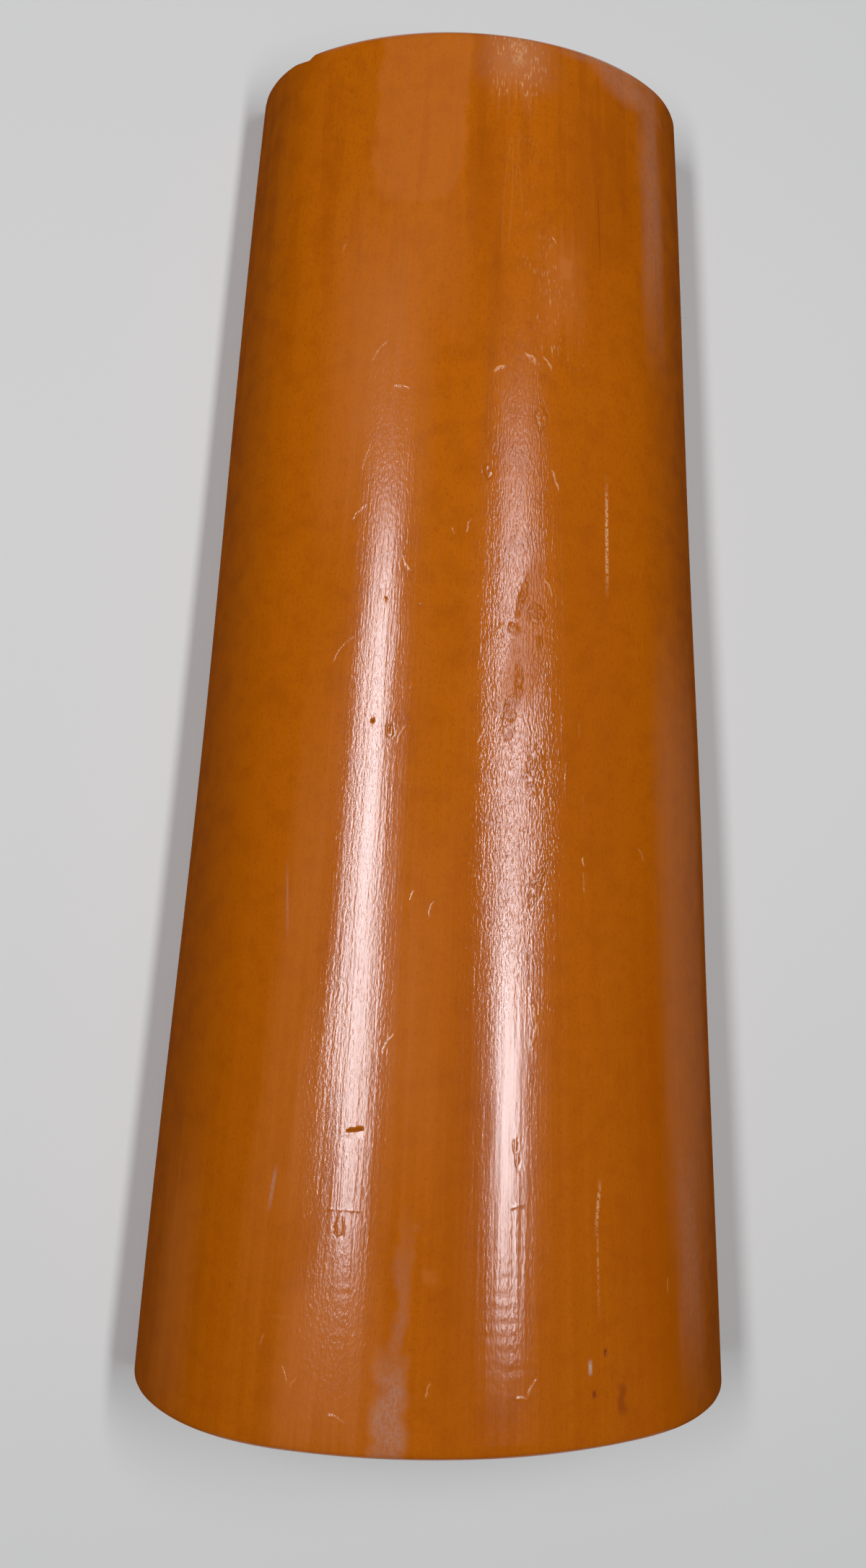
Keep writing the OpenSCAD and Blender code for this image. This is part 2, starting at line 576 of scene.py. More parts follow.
# %% Place the other marks
LUMPS = [
    (17.3, 97, 2.0, 3.5, 0.1, 0.1),
    (-3, 78, 1.6, 2.2, 0, 0.1),
    (10.2, 38, 1.3, 6, 0.28, 0.16),
    (7.6, 28, 1.9, 1.8, 0, 0.14),
    (15.8, 33, 2.6, 3.2, 0, 0.14),
    (16.3, 24, 1.2, 2.4, 0, 0.12),
    (9.2, 11, 1.3, 5.5, 0.05, 0.1),
    (6.1, 0, 2.4, 7, 0.1, 0.1),
    (15.3, -17, 3.6, 7.5, 0.05, 0.11),
    (16, -52, 2.1, 6.8, 0.32, 0.11),
    (-31, -6, 1.3, 2.2, 0, 0.1),
]
PITS = [
    (-35, 36, 0.22, 0.2),
    (-36.6, -3, 0.5, 0.15),
    (35, -196, 0.3, 0.2),
    (-24, 34, 0.22, 0.15),
]
NICKS = [(-33.2, -128.6, 3.0, 0.3, 0.4), (-35.6, -131.0, 2.0, 0.16, 0.15)]
RUNS = [(-35.6, -156.5, 1.9, 4.0), (9.8, -131.5, 0.9, 2.6), (10.4, -136, 0.9, 2.4)]
RIPPLED = [
    (9, -180, 13, 32, 4.4, 0.012),
    (9, -190, 11, 22, 1.6, 0.005),
    (-32, -172, 11, 26, 4.8, 0.005),
]
Mark = namedtuple("Mark", "across along reach_across reach_along shape")
marks = []
for make_mark, rows in (
    (hair, HAIRS),
    (lump, LUMPS),
    (pit, PITS),
    (nick, NICKS),
    (run_of_coat, RUNS),
    (ripples, RIPPLED),
):
    for across, along, *sizes in rows:
        marks.append(Mark(across, along, *make_mark(*sizes)))
print("small marks:", len(marks))

# %% [markdown]
# The map of the unrolled tile keeps the widths of its middle, but the tile is wider at one end and
# narrower at the other. A hair has the same width everywhere, so the distance from a mark is
# stretched back to true millimetres before the mark's formula is asked. Where marks overlap, their
# heights add up, and the strongest tone wins.

# %% Add up the marks at a place


def widening(along):
    """How much wider a strip of the crown is here than at mid-length, distance in mm."""
    return arc_at(along * MM, 0).z / arc_at(0, 0).z


def offsets(way, mark):
    """True distances in mm from a mark's centre, or None beyond its reach."""
    from_along = way.y - mark.along
    if abs(from_along) > mark.reach_along:
        return None
    from_across = (way.x - mark.across) * widening(mark.along)
    return (from_across, from_along) if abs(from_across) < mark.reach_across else None


def standing_out(way):
    """How far the marks lift the surface in mm, and how pale they make it, at a place in mm."""
    lift = 0
    tone = 0
    for mark in marks:
        off = offsets(way, mark)
        if off:
            mark_lift, mark_tone = mark.shape(*off)
            lift += mark_lift
            tone = mark_tone if abs(mark_tone) > abs(tone) else tone
    return lift, tone


end_widths = [round(widening(end / MM), 2) for end in (-HALF_LENGTH, HALF_LENGTH)]
print("a strip of the crown, wide and narrow end:", end_widths)

# %% [markdown]
# A hair is a third of a millimetre wide, far finer than the rings. Cutting the whole tile that fine
# would take millions of faces, so only the faces near a mark are cut again, and those that the
# mark really colours once more.

# %% Cut finer round the marks
NEAR_CUTS = 3
FINE_CUTS = 2
LEAST_TONE = 0.03


def weather_faces():
    """Faces of the outer side, each with the place of its middle in mm."""
    for face in tile_bm.faces:
        way = place(face.calc_center_median())
        if way.z < SLACK and abs(way.y) < LAST_RING:
            yield face, way / MM


def edges_of(faces):
    """Edges of these faces, each once and in the order of the faces."""
    return list(dict.fromkeys(e for f in faces for e in f.edges))


near = edges_of(f for f, way in weather_faces() if any(offsets(way, m) for m in marks))
bmesh.ops.subdivide_edges(tile_bm, edges=near, cuts=NEAR_CUTS, use_grid_fill=True)
toned = edges_of(f for f, way in weather_faces() if abs(standing_out(way)[1]) > LEAST_TONE)
bmesh.ops.subdivide_edges(tile_bm, edges=toned, cuts=FINE_CUTS, use_grid_fill=True)
print("cut finer:", len(tile_bm.verts), "vertices,", len(tile_bm.faces), "faces")

# %% [markdown]
# Before anything moves, each vertex notes its place in an attribute, so that the finish can follow
# the unrolled tile however the surface bends. A second attribute is for how pale or dark the small
# marks make it, and is filled when they are raised.

# %% Note each point's place
way_layer = tile_bm.verts.layers.float_vector.new("brush_way")
tone_layer = tile_bm.verts.layers.float.new("mark_tone")
for v in tile_bm.verts:
    v[way_layer] = place(v.co) / MM
SIDE = max(v[way_layer].x for v in tile_bm.verts)
print("farthest across, mm:", round(SIDE, 1))

# %% [markdown]
# No hand-made tile is a perfect arch. The weather side swells and sinks a little, the cloth that
# smoothed it left long shallow drag lines, and one place on the left shoulder was pressed flatter.
# These turn the mirrored strips of light into soft uneven bands. Sculpting would do, but noise that
# is stretched along the tile gives the same and can be tuned: each wave has a height, a size across
# and along, and a number that picks its own stretch of noise.

# %% Waves of hand work
WAVES = {
    "swell": (0.18, 46, 85, 0.3),
    "drag": (0.03, 6, 190, 5.1),
    "waver": (0.02, 5, 26, 9.7),
}
FLAT_PLACE = {"across": -36, "along": -95, "half_width": 10, "half_length": 36, "depth": 0.16}


def uneven(way):
    """Waves and the flattened place of the weather side, in mm outwards."""
    waves = sum(
        height * noise.noise(Vector((way.x / size_across, way.y / size_along, pick)))
        for height, size_across, size_along, pick in WAVES.values()
    )
    flat = FLAT_PLACE["depth"] * bell(way.x - FLAT_PLACE["across"], FLAT_PLACE["half_width"])
    return waves - flat * bell(way.y - FLAT_PLACE["along"], FLAT_PLACE["half_length"])


middle_heights = [round(uneven(Vector((0, y, 0))), 2) for y in (-150, 0, 150)]
print("crown line stands out, mm:", middle_heights)

# %% [markdown]
# Clay also bends as it dries: the sides bow in and out by about half a millimetre between the ends.
# The narrow end has a small notch chipped out on its left, with one steep side towards the crown.

# %% Bowed sides and the chipped notch
LEFT_BOW = {"size": -0.7, "middle": -5, "half_wave": 180}
RIGHT_BOW = {"size": 0.5, "middle": 180, "half_wave": 103}
RIGHT_BOW_FADE = (-120, -40)
NOTCH = {"across": -82, "depth": 1.2, "steep": 3, "run": 9}


def side_bow(way):
    """How far a side has bowed outwards at a distance along, in mm."""
    bow = LEFT_BOW if way.x < 0 else RIGHT_BOW
    wave = bow["size"] * math.cos(math.pi * (way.y - bow["middle"]) / bow["half_wave"])
    return wave if way.x < 0 else wave * ease(way.y, *RIGHT_BOW_FADE)


def notch(way):
    """How deep the chipped notch is at a place, in mm."""
    past = NOTCH["across"] - way.x
    share = 1 + past / NOTCH["steep"] if past < 0 else 1 - past / NOTCH["run"]
    return NOTCH["depth"] * max(0, share)


print("notch, mm deep:", notch(Vector((NOTCH["across"], 0, 0))))

# %% [markdown]
# Now the surface moves. Marks and waves push each vertex of the weather side along its own normal,
# and all normals are kept from before, so that no push depends on another. The waves fade out
# towards the feet, which stay straight and level. The cut ends waver a little, only ever inwards.

# %% Make it hand-made
FIRM_FOOT = 25
END_WOBBLE = 0.15
WOBBLE_SIZE = 30
tile_bm.normal_update()
normals = {v: v.normal.copy() for v in tile_bm.verts}
for v in tile_bm.verts:
    way = v[way_layer]
    if way.z * MM < SLACK:
        lift, v[tone_layer] = standing_out(way)
        firm = ease(SIDE - abs(way.x), 0, FIRM_FOOT)
        v.co += normals[v] * (lift + uneven(way) * firm) * MM
    v.co.x += math.copysign((way.x / SIDE) ** 2, way.x) * side_bow(way) * MM
    if abs(way.y) * MM > LAST_RING - SLACK:
        wobble = END_WOBBLE * (0.5 + noise.noise(Vector((way.x / WOBBLE_SIZE, way.y, 0))))
        v.co.y -= math.copysign(max(0, wobble), way.y) * MM
        if way.y > 0:
            v.co.y -= notch(way) * MM
print("far corner, mm:", [round(max(v.co[k] for v in tile_bm.verts) / MM, 2) for k in range(3)])

# %% [markdown]
# The mesh is done, and becomes the object that stands in for the imported tile: it rides on the one
# body there is and replaces the imported node, which is hidden. Its faces are shaded smooth, which
# rounds the small steps of the arcs without more faces.

# %% Make the tile an object
for face in tile_bm.faces:
    face.smooth = True
tile_data = bpy.data.meshes.new("coated_tile")
tile_bm.to_mesh(tile_data)
tile_bm.free()
tile = bpy.data.objects.new("coated_tile", tile_data)
scene.collection.objects.link(tile)
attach(tile, "root")
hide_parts("barrel_tile")
print("tile:", sum(len(p.vertices) - 2 for p in tile_data.polygons), "triangles")

# %% [markdown]
# The finish is one material. Long node trees are easier to read when each kind of node has a short
# helper, so these add a node, feed its inputs from other nodes or with plain values, and hand back
# its output.

# %% Helpers for the finish
coat = bpy.data.materials.new("brushed_coat")
coat.use_nodes = True
tree = coat.node_tree


def feed(nodes, socket, source):
    """Link an output to a socket, or set the socket's own value."""
    if isinstance(source, bpy.types.NodeSocket):
        nodes.links.new(source, socket)
    else:
        socket.default_value = source


def add_node(nodes, kind, feeds, **settings):
    """Add a node with these settings and feed its inputs by name or number."""
    added = nodes.nodes.new(kind)
    for name, value in settings.items():
        setattr(added, name, value)
    for key, source in feeds.items():
        feed(nodes, added.inputs[key], source)
    return added


def calc(operation, *sources, nodes=tree):
    """One step of arithmetic."""
    return add_node(nodes, "ShaderNodeMath", dict(enumerate(sources)), operation=operation).outputs[0]


def rise(source, low, high, nodes=tree):
    """0 below low, 1 above high and a smooth rise between."""
    feeds = {"Value": source, "From Min": low, "From Max": high}
    return add_node(nodes, "ShaderNodeMapRange", feeds, interpolation_type="SMOOTHSTEP").outputs[0]


print("helpers ready for", coat.name)

# %% [markdown]
# Two attributes of the mesh tell the finish where it is: the place on the unrolled tile, in mm, for
# all that a brush did, and the tone of the small marks. Patterns without a direction, such as specks
# and clouds, read Object coordinates, which are in metres. The noise helpers take how often a
# pattern repeats in these units, and a brushed pattern repeats far less along than across.

# %% Places and patterns
way = add_node(tree, "ShaderNodeAttribute", {}, attribute_name="brush_way").outputs["Vector"]
tone = add_node(tree, "ShaderNodeAttribute", {}, attribute_name="mark_tone").outputs["Fac"]
across, along, depth = add_node(tree, "ShaderNodeSeparateXYZ", {0: way}).outputs
sideways = calc("ABSOLUTE", across)
spot = add_node(tree, "ShaderNodeTexCoord", {}).outputs["Object"]


def cloudy(vector, scale, detail):
    """Soft noise, about 0.5 on average."""
    feeds = {0: vector, 1: scale}
    scaled = add_node(tree, "ShaderNodeVectorMath", feeds, operation="MULTIPLY").outputs[0]
    feeds = {"Vector": scaled, "Scale": 1.0, "Detail": detail}
    return add_node(tree, "ShaderNodeTexNoise", feeds).outputs[0]


def brushed(per_mm_across, per_mm_along, detail):
    """Soft noise that a brush has drawn out along the tile."""
    return cloudy(way, (per_mm_across, per_mm_along, 0), detail)


def dabbed(per_metre, detail):
    """Soft noise of the same size in all directions."""
    return cloudy(spot, (per_metre, per_metre, per_metre), detail)


print("places: brush_way, mark_tone and Object coordinates")

# %% [markdown]
# Patches of bloom, dust, scratches and stains lie all over the coat. A node group makes one such
# patch: a rounded box on the unrolled tile with a soft border, and a lean if it slants. The group
# is used once for each patch, with that patch's own numbers.

# %% A node group for one patch
SQUARENESS = 5.0
patch_group = bpy.data.node_groups.new("patch", "ShaderNodeTree")
patch_group.interface.new_socket("Way", in_out="INPUT", socket_type="NodeSocketVector")
for name in ("Across", "Along", "Half across", "Half along", "Lean", "Soft"):
    patch_group.interface.new_socket(name, in_out="INPUT", socket_type="NodeSocketFloat")
patch_group.interface.new_socket("Amount", in_out="OUTPUT", socket_type="NodeSocketFloat")
given = patch_group.nodes.new("NodeGroupInput").outputs
parts = add_node(patch_group, "ShaderNodeSeparateXYZ", {0: given["Way"]}).outputs


def inside(operation, *sources):
    """One step of arithmetic inside the patch group."""
    return calc(operation, *sources, nodes=patch_group)


def powered_share(distance, half):
    """A distance as a share of half the patch's size, to the power that makes the box square."""
    return inside("POWER", inside("DIVIDE", inside("ABSOLUTE", distance), half), SQUARENESS)


from_along = inside("SUBTRACT", parts[1], given["Along"])
leaning = inside("MULTIPLY", from_along, given["Lean"])
from_across = inside("SUBTRACT", inside("SUBTRACT", parts[0], given["Across"]), leaning)
power_across = powered_share(from_across, given["Half across"])
power_along = powered_share(from_along, given["Half along"])
reach = inside("POWER", inside("ADD", power_across, power_along), 1 / SQUARENESS)
amount = rise(
    inside("MULTIPLY", reach, -1.0),
    inside("SUBTRACT", -1.0, given["Soft"]),
    inside("ADD", -1.0, given["Soft"]),
    nodes=patch_group,
)
patch_out = patch_group.nodes.new("NodeGroupOutput")
feed(patch_group, patch_out.inputs["Amount"], amount)
print("patch group:", len(patch_group.nodes), "nodes")

# %% [markdown]
# Few patches have a clean border. A brush or a hand dragged most of them along, so their borders are
# streaked. Others ran or dried as a puddle, and theirs are wavy. In both cases the place is pushed
# about by noise before the patch is worked out: drawn-out noise for streaks, even noise for waves.
# Small crisp patches, such as scratches, use the true place.

# %% Streaked, runny and true places
STREAK_ACROSS = 5.0
STREAK_ALONG = 34.0
RUNNY_SHIFT = 7.0


def pushed(noise_across, shift_across, noise_along, shift_along):
    """The place on the tile, pushed about by noise, with the width of the push in mm."""
    push_across = calc("MULTIPLY", calc("SUBTRACT", noise_across, 0.5), shift_across)
    push_along = calc("MULTIPLY", calc("SUBTRACT", noise_along, 0.5), shift_along)
    push = add_node(tree, "ShaderNodeCombineXYZ", {0: push_across, 1: push_along}).outputs[0]
    return add_node(tree, "ShaderNodeVectorMath", {0: way, 1: push}, operation="ADD").outputs[0]


streaked_way = pushed(
    brushed(0.22, 0.03, detail=2.0), STREAK_ACROSS, brushed(0.6, 0.012, detail=3.0), STREAK_ALONG
)
runny_way = pushed(dabbed(110, detail=2.0), RUNNY_SHIFT, dabbed(90, detail=2.0), RUNNY_SHIFT)
print("streaks, mm:", STREAK_ACROSS, STREAK_ALONG, "runs, mm:", RUNNY_SHIFT)

# %% [markdown]
# Each patch has its middle and half size in mm, a lean in mm across per mm along, a softness, and
# how strongly it works. Bloom is the pinkish film of a coat that dried damp, and along the margins of
# the two bands of light it is also painted sheen, the pink haze of the mirrored strips. Dust is
# greyer. Deep is a thicker, darker coat. Fleck paints pale short strokes, partly dry strokes that
# missed the hollows and partly painted glints of the strips. Dull lost some of its gloss, coarse
# has a coarser grain and smooth a finer one. First come the patches that were brushed.

# %% Streaked patches
STREAKED_PATCHES = [
    ((-32, 148), (17, 22), 0, 0.6, {"bloom_and_sheen": 0.25}),
    # painted sheen: the pink haze at the upper end of the left band of light
    ((-43, 112), (15, 44), 0, 0.7, {"bloom_and_sheen": 0.45, "coarse": 0.7}),
    ((-56, -85), (6, 80), 0.046, 0.7, {"bloom_and_sheen": 0.26}),
    ((-19, -92), (8, 46), 0, 0.8, {"bloom_and_sheen": 0.26}),
    # painted sheen: the pink fringe left of the left band of light, which widens it
    ((-48, -128), (5, 32), 0.04, 0.8, {"bloom_and_sheen": 0.35, "coarse": 0.6}),
    ((26, 142), (8, 15), 0, 0.7, {"bloom_and_sheen": 0.35}),
    ((77, -75), (14, 90), 0, 0.4, {"dust": 0.1, "bloom_and_sheen": 0.15}),
    ((-93, -185), (8, 36), 0, 0.6, {"bloom_and_sheen": 0.2}),
    # painted sheen: the hazy lower end of the left band of light
    ((-38, -196), (11, 26), 0, 0.6, {"bloom_and_sheen": 0.42, "coarse": 0.6}),
    ((69.5, 188), (5, 42), 0, 0.8, {"dust": 0.28}),
    ((73, -168), (6, 32), 0, 0.8, {"dust": 0.2}),
    ((-6, 168), (8, 44), 0, 0.6, {"deep": 0.25}),
    ((40, 170), (16, 50), 0, 0.8, {"deep": 0.2}),
    ((36, 20), (14, 70), 0, 0.8, {"deep": 0.2}),
    ((-3, -120), (7, 70), 0, 0.8, {"deep": 0.35}),
    ((56, -140), (12, 80), 0, 0.8, {"deep": 0.4}),
    # painted glints and sheen where a light is mirrored near the narrow end; the two fleck patches
    # below are partly painted glints too
    ((6, 215), (10, 11), 0, 0.7, {"fleck_and_glint": 1.5, "bloom_and_sheen": 0.5}),
    ((9, 186), (7, 15), 0, 0.7, {"fleck_and_glint": 0.2}),
    ((21, 138), (8, 19), -0.3, 0.7, {"fleck_and_glint": 0.8}),
    ((11, -5), (15, 68), 0, 0.5, {"coarse": 1.0}),
    ((10, 98), (12, 42), 0, 0.7, {"dull": 0.5, "coarse": 0.6}),
    ((9, -75), (14, 20), 0, 0.8, {"coarse": 0.5}),
    ((7.6, -122), (5, 40), 0, 0.7, {"smooth": 1.0}),
]
print("streaked patches:", len(STREAKED_PATCHES))

# %% [markdown]
# The next patches ran or dried as puddles: thick wet coat near the narrow end with a pale field beside
# it, a milky stain that ran to the wide end, and films of dust along the narrow end. Rust is a
# red-brown stain, and scratch goes down to pale clay.

# %% Runny patches
RUNNY_PATCHES = [
    ((-8.5, 174), (5.5, 20), 0, 0.25, {"deep": 0.4}),
    ((44, 178), (15, 27), 0, 0.2, {"deep": 0.35}),
    ((27.5, 148), (3.2, 4.2), 0, 0.4, {"bloom_and_sheen": 0.6}),
    ((-33, 203), (18.5, 37), 0.03, 0.07, {"bloom_and_sheen": 0.34}),
    ((-20.3, -211), (3.3, 14), 0.02, 0.7, {"dust": 0.4}),
    ((-18.8, -183), (1.8, 20), 0.02, 0.8, {"dust": 0.18}),
    ((40, -211), (1.3, 3.6), 0, 0.6, {"rust": 0.55}),
    ((-12, -171), (1.6, 2.2), 0, 0.7, {"bloom_and_sheen": 0.25}),
    ((58, 219), (11, 6), -1.2, 0.7, {"dust": 0.3}),
    # painted sheen and a painted glint: the pale film and the pale spot where a light is mirrored at
    # the narrow end
    ((6, 218), (14, 8), 0, 0.8, {"dust": 0.2}),
    ((6.6, 219), (3, 3.5), 0, 0.8, {"scratch": 0.35}),
]
print("runny patches:", len(RUNNY_PATCHES))

# %% [markdown]
# The last patches are crisp: scratches, small stains and a duller spot right of the crown line. All
# three kinds then go through the node group, and where patches with the same effect overlap, the
# stronger one counts, because two thin films rarely look like one thick film.

# %% Crisp patches
CRISP_PATCHES = [
    ((14, 28), (6.5, 25), 0.22, 0.25, {"dull": 1.0}),
    ((52, 223.5), (20, 2.0), 0, 0.8, {"dust": 0.35}),
    ((-2, 125), (1.8, 40), 0.035, 0.8, {"rust": 0.14}),
    ((43.5, 166), (0.5, 13), 0, 0.8, {"deep": 0.9}),
    ((42.9, 61), (0.6, 14), 0.03, 0.6, {"scratch": 0.8}),
    ((33.6, -152), (0.45, 6), 0.1, 0.7, {"scratch": 0.6}),
    ((33.3, -170), (0.25, 10), 0, 0.8, {"scratch": 0.35}),
    ((30.5, -200), (0.45, 1.7), 0, 0.7, {"dust": 1.2}),
    ((35, -196), (0.4, 1.0), 0, 0.8, {"rust": 0.9}),
    ((31.5, -208), (0.5, 1.0), 0, 0.8, {"rust": 0.9}),
    ((-56.6, -148), (0.6, 5), 0.1, 0.7, {"dust": 0.45}),
    ((-60, -60), (0.35, 8), -0.1, 0.8, {"dust": 0.35}),
    ((-43.5, -185.5), (8, 0.7), 0, 0.7, {"bloom_and_sheen": 0.4}),
]
totals = {}
for where, patches in (
    (streaked_way, STREAKED_PATCHES),
    (runny_way, RUNNY_PATCHES),
    (way, CRISP_PATCHES),
):
    for middle, half, lean, soft, effects in patches:
        feeds = dict(enumerate((where, *middle, *half, lean, soft)))
        patch = add_node(tree, "ShaderNodeGroup", feeds, node_tree=patch_group)
        for effect, strength in effects.items():
            worked = calc("MULTIPLY", patch.outputs[0], strength)
            totals[effect] = calc("MAXIMUM", totals[effect], worked) if effect in totals else worked
print("crisp patches:", len(CRISP_PATCHES), "all effects:", sorted(totals))

# %% [markdown]
# The coat is an iron-oxide slip: orange-brown and laid on with a wide brush along the tile. It is a
# little lighter towards the narrow end, which is partly painted light, because the strips light that
# end less than the middle. An image of it would have to be unwrapped and would show its pixels up
# close, so the colour is mixed from noise. Long thin streaks lighten it, and dashes, specks, mottling
# and smears darken it where the slip lies thicker. At the narrow end the brush ran dry and left wide
# dark and light strokes.

# %% Brushed colour
WIDE_COAT = (0.44, 0.100, 0.0004, 1)
NARROW_COAT = (0.535, 0.126, 0.0004, 1)
LIGHT_COAT = (0.49, 0.118, 0.0008, 1)
DEEP_COAT = (0.34, 0.066, 0.0002, 1)
MIX_FACTOR, MIX_A, MIX_B, MIX_RESULT = 0, 6, 7, 2


def laid_over(colour, other, share, strength=None):
    """A colour with another laid over it, by a share that a strength may weaken."""
    factor = share if strength is None else calc("MULTIPLY", share, strength)
    feeds = {MIX_FACTOR: factor, MIX_A: colour, MIX_B: other}
    return add_node(tree, "ShaderNodeMix", feeds, data_type="RGBA").outputs[MIX_RESULT]


streaks = brushed(0.35, 0.006, detail=4.0)
dashes = brushed(1.5, 0.35, detail=2.0)
specks = dabbed(1100, detail=2.0)
mottle = dabbed(55, detail=3.0)
smears = dabbed(140, detail=4.0)
strokes = brushed(0.13, 0.012, detail=5.0)
# partly painted light: lighter towards the narrow end, which the strips light less
colour = laid_over(WIDE_COAT, NARROW_COAT, rise(along, -230.0, 230.0))
colour = laid_over(colour, LIGHT_COAT, rise(streaks, 0.4, 0.75), 0.6)
colour = laid_over(colour, DEEP_COAT, rise(dashes, 0.45, 0.8), 0.3)
colour = laid_over(colour, DEEP_COAT, rise(specks, 0.5, 0.75), 0.4)
colour = laid_over(colour, DEEP_COAT, rise(mottle, 0.55, 0.8), 0.35)
colour = laid_over(colour, DEEP_COAT, rise(smears, 0.45, 0.7), 0.25)
dry_brush = calc("MULTIPLY", rise(strokes, 0.5, 0.6), rise(along, 90.0, 190.0))
colour = laid_over(colour, DEEP_COAT, dry_brush, 0.28)
print("colour nodes:", len(tree.nodes))

# %% [markdown]
# Towards the feet the coat turns darker and browner, on the right from higher up than on the left.
# This is painted shade, for sides that turn away from the light. Then the patches are laid over it
# one after the other. Bloom, partly painted sheen, follows the streaks and the mottling below it,
# and dust lies in specks, so neither looks like an even sheet of film.

# %% Painted side shade, films and stains
SIDE_SHADE_COAT = (0.25, 0.058, 0.008, 1)
BLOOM_AND_SHEEN = (0.60, 0.172, 0.032, 1)
DUST = (0.46, 0.27, 0.19, 1)
RUST = (0.22, 0.035, 0.004, 1)


def scaled(source, least, gain):
    """A pattern turned into a strength: so much at least, and its gain on top."""
    return calc("ADD", least, calc("MULTIPLY", source, gain))


# painted shade: the coat darkens towards both feet, on the right from higher up
side_shade = calc("MAXIMUM", rise(sideways, 65.0, 122.0), rise(across, 45.0, 95.0))
colour = laid_over(colour, SIDE_SHADE_COAT, side_shade, scaled(smears, 0.4, 0.7))
colour = laid_over(colour, DEEP_COAT, totals["deep"])
# partly painted sheen: along the bands of light, bloom paints their pink haze
bloom_and_sheen = calc("MULTIPLY", totals["bloom_and_sheen"], scaled(calc("ADD", streaks, mottle), 0.45, 0.55))
colour = laid_over(colour, BLOOM_AND_SHEEN, bloom_and_sheen)
dusty = rise(calc("ADD", dashes, specks), 0.8, 1.2)
dust = calc("MULTIPLY", totals["dust"], scaled(dusty, 0.55, 0.6))
colour = laid_over(colour, DUST, dust)
colour = laid_over(colour, RUST, totals["rust"])
print("colour nodes:", len(tree.nodes))

# %% [markdown]
# Pale marks come last, because most go through the whole coat down to pale clay: short strokes in
# loose clusters, which are partly dry strokes and partly painted glints of the strips, scratches
# broken up by specks, and the ridges of hairs. Marks with a dark tone get the colour of clay in
# shadow: painted shade in the hollows of pits and nicks and in the sunk rims of lumps and runs, and
# a darker body on the lumps.

# %% Flecks, scratches and marks
PALE_CLAY = (0.82, 0.46, 0.21, 1)
SHADOW_CLAY = (0.11, 0.028, 0.008, 1)
clusters = rise(smears, 0.4, 0.58)
short_strokes = rise(brushed(1.2, 0.32, detail=2.0), 0.55, 0.7)
# partly painted glints of the strips, partly dry strokes
flecks_and_glints = calc("MULTIPLY", totals["fleck_and_glint"], calc("MULTIPLY", short_strokes, clusters))
colour = laid_over(colour, PALE_CLAY, flecks_and_glints, 0.55)
colour = laid_over(colour, PALE_CLAY, totals["scratch"], rise(specks, 0.35, 0.6))
colour = laid_over(colour, PALE_CLAY, calc("MAXIMUM", tone, 0.0), 0.9)
# painted shade in the hollows of pits and nicks and in sunk rims; a darker body on lumps
coat_colour = laid_over(colour, SHADOW_CLAY, calc("MAXIMUM", calc("MULTIPLY", tone, -1.0), 0.0))
print("colour nodes:", len(tree.nodes))

# %% [markdown]
# Below the coat is bare terracotta: matte, pale where lime came out of the clay, with fine sand in
# it. It shows on the underside, and on the ends where the brush stopped short, so the two finishes
# are mixed by the depth under the outer face with an uneven border.

# %% Bare clay and its border
CLAY = (0.44, 0.165, 0.072, 1)
LIME_CLAY = (0.55, 0.30, 0.18, 1)
BURNT_CLAY = (0.27, 0.085, 0.035, 1)
BORDER = 5.0
BORDER_SOFT = 0.6
BORDER_WANDER = 7.0
clouds = dabbed(22, detail=5.0)
sand = dabbed(900, detail=2.0)
wiped = brushed(0.12, 0.02, detail=4.0)
clay_colour = laid_over(CLAY, LIME_CLAY, rise(clouds, 0.4, 0.75))
clay_colour = laid_over(clay_colour, BURNT_CLAY, rise(wiped, 0.45, 0.75), 0.6)
clay_colour = laid_over(clay_colour, BURNT_CLAY, rise(sand, 0.58, 0.75), 0.45)
ragged = calc("MULTIPLY", calc("SUBTRACT", dabbed(160, detail=4.0), 0.5), BORDER_WANDER)
bare = rise(calc("ADD", depth, ragged), BORDER - BORDER_SOFT, BORDER + BORDER_SOFT)
base_colour = laid_over(coat_colour, clay_colour, bare)
print("coat stops", BORDER, "mm down the cut ends")

# %% [markdown]
# The satin gloss has two sides in Blender: roughness, which blurs what is mirrored, and the level of
# the mirroring itself. Roughness rises where the film is dusty, dull or rubbed at the sides, and the
# bare clay is matte. The level falls at the rubbed sides, on dull patches and on the small marks,
# where the coat is broken.

# %% Satin gloss
GLOSS = 0.14
SIDE_ROUGHNESS = 0.4
FILM_ROUGHNESS = 0.06
DUST_ROUGHNESS = 0.3
DULL_ROUGHNESS = 0.04
STREAK_ROUGHNESS = 0.12
CLAY_ROUGHNESS = 0.88
MOST_ROUGHNESS = 0.95
SHINE = 0.5
roughness = scaled(rise(sideways, 50.0, 95.0), GLOSS, SIDE_ROUGHNESS)
for film, more in (
    (bloom_and_sheen, FILM_ROUGHNESS),
    (dust, DUST_ROUGHNESS),
    (totals["dull"], DULL_ROUGHNESS),
    (calc("SUBTRACT", streaks, 0.5), STREAK_ROUGHNESS),
    (bare, CLAY_ROUGHNESS - GLOSS),
):
    roughness = scaled(film, roughness, more)
roughness = calc("MINIMUM", roughness, MOST_ROUGHNESS)
matte_side = calc("MAXIMUM", rise(sideways, 45.0, 78.0), rise(across, 38.0, 62.0))
matte_patch = calc("MULTIPLY", totals["dull"], 0.6)
matte_mark = calc("MINIMUM", calc("MULTIPLY", calc("ABSOLUTE", tone), 2.5), 0.9)
shine = SHINE
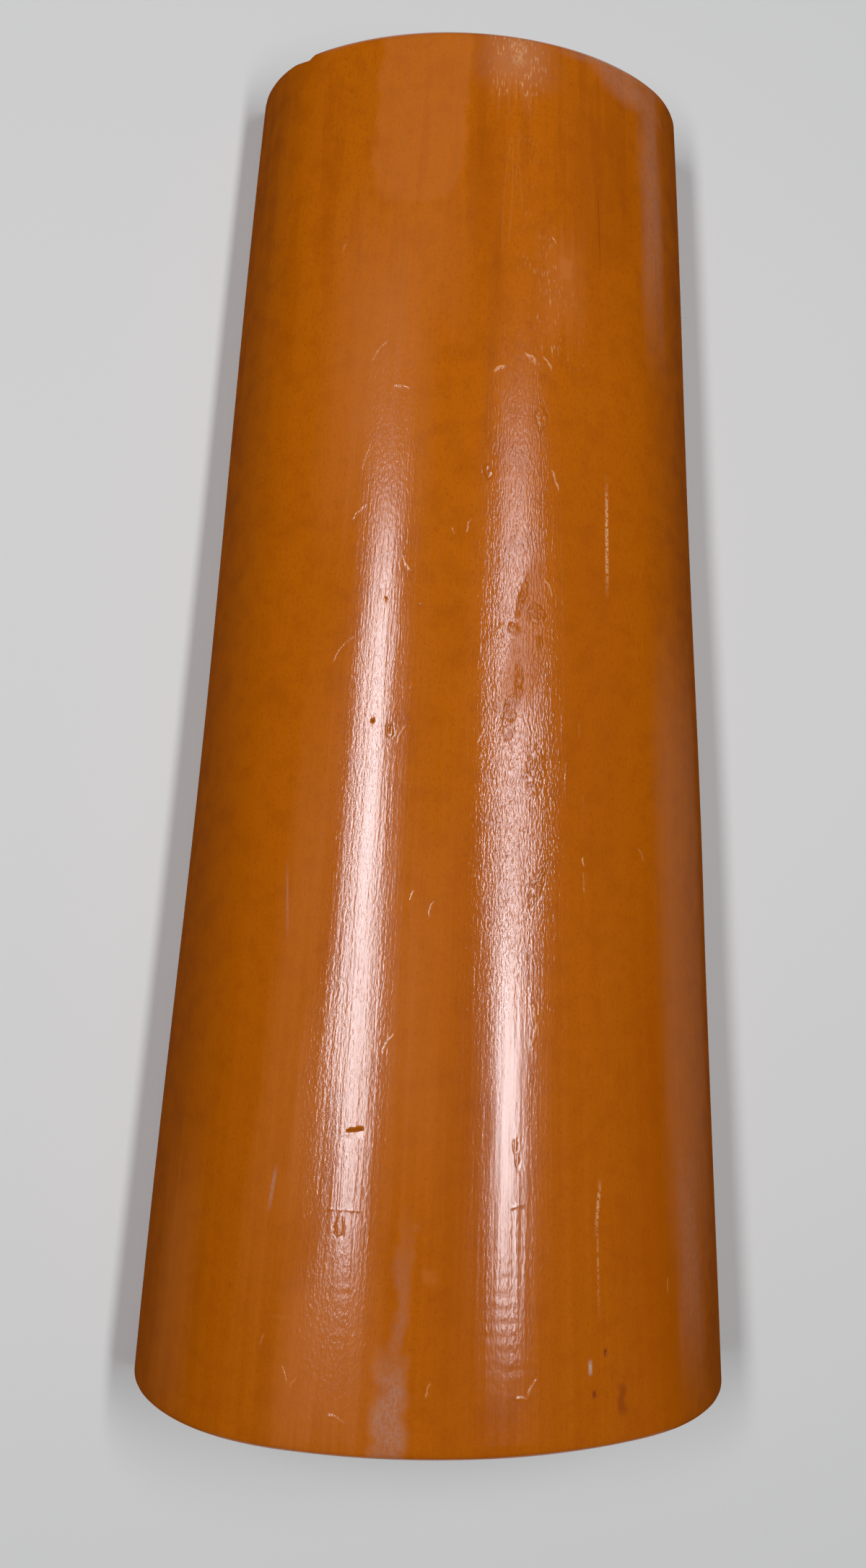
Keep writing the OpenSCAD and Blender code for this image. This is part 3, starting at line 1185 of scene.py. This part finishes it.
for share in (matte_side, matte_patch, matte_mark):
    shine = calc("MULTIPLY", shine, calc("SUBTRACT", 1.0, share))
print("roughness from", GLOSS, "to", MOST_ROUGHNESS)

# %% [markdown]
# The bands of light look brushed because of relief that is far too fine to model. The hairs of the
# brush left grooves a millimetre apart along the tile, and the slip dried with a grain like orange
# peel. Both are bump, with heights in mm. The grain grows on coarse patches, and grooves and grain
# are weaker on smooth ones. On the underside, sand and wiping marks take their place.

# %% Fine relief
GROOVE_MM = 0.04
GRAIN_MM = 0.034
COARSE_GRAIN_MM = 0.07
SAND_MM = 0.12
SMOOTHING = 0.7
WIPED_GAIN = 1.5
BLEND_FACTOR, BLEND_A, BLEND_B = 0, 2, 3
grooves = calc("MULTIPLY", brushed(0.9, 0.03, detail=3.0), GROOVE_MM)
grain_size = scaled(totals["coarse"], GRAIN_MM, COARSE_GRAIN_MM)
grain = calc("MULTIPLY", brushed(1.5, 0.5, detail=2.0), grain_size)
left_rough = calc("SUBTRACT", 1.0, calc("MULTIPLY", totals["smooth"], SMOOTHING))
coat_height = calc("MULTIPLY", calc("ADD", grooves, grain), left_rough)
clay_height = calc("MULTIPLY", scaled(wiped, sand, WIPED_GAIN), SAND_MM)
feeds = {BLEND_FACTOR: bare, BLEND_A: coat_height, BLEND_B: clay_height}
height = add_node(tree, "ShaderNodeMix", feeds).outputs[0]
bump = add_node(tree, "ShaderNodeBump", {"Height": height, "Distance": MM, "Strength": 1.0})
print("relief, mm: grooves", GROOVE_MM, "grain", GRAIN_MM, "sand", SAND_MM)

# %% [markdown]
# All parts of the finish now go into one shader. Its index of refraction is the same everywhere, so
# it is set on the shader's own socket.

# %% Put the finish on the tile
SLIP_IOR = 1.5
shader = tree.nodes["Principled BSDF"]
shader.inputs["IOR"].default_value = SLIP_IOR
for socket, source in (
    ("Base Color", base_colour),
    ("Roughness", roughness),
    ("Specular IOR Level", shine),
    ("Normal", bump.outputs["Normal"]),
):
    feed(tree, shader.inputs[socket], source)
tile_data.materials.append(coat)
print("finish:", len(tree.nodes), "nodes")
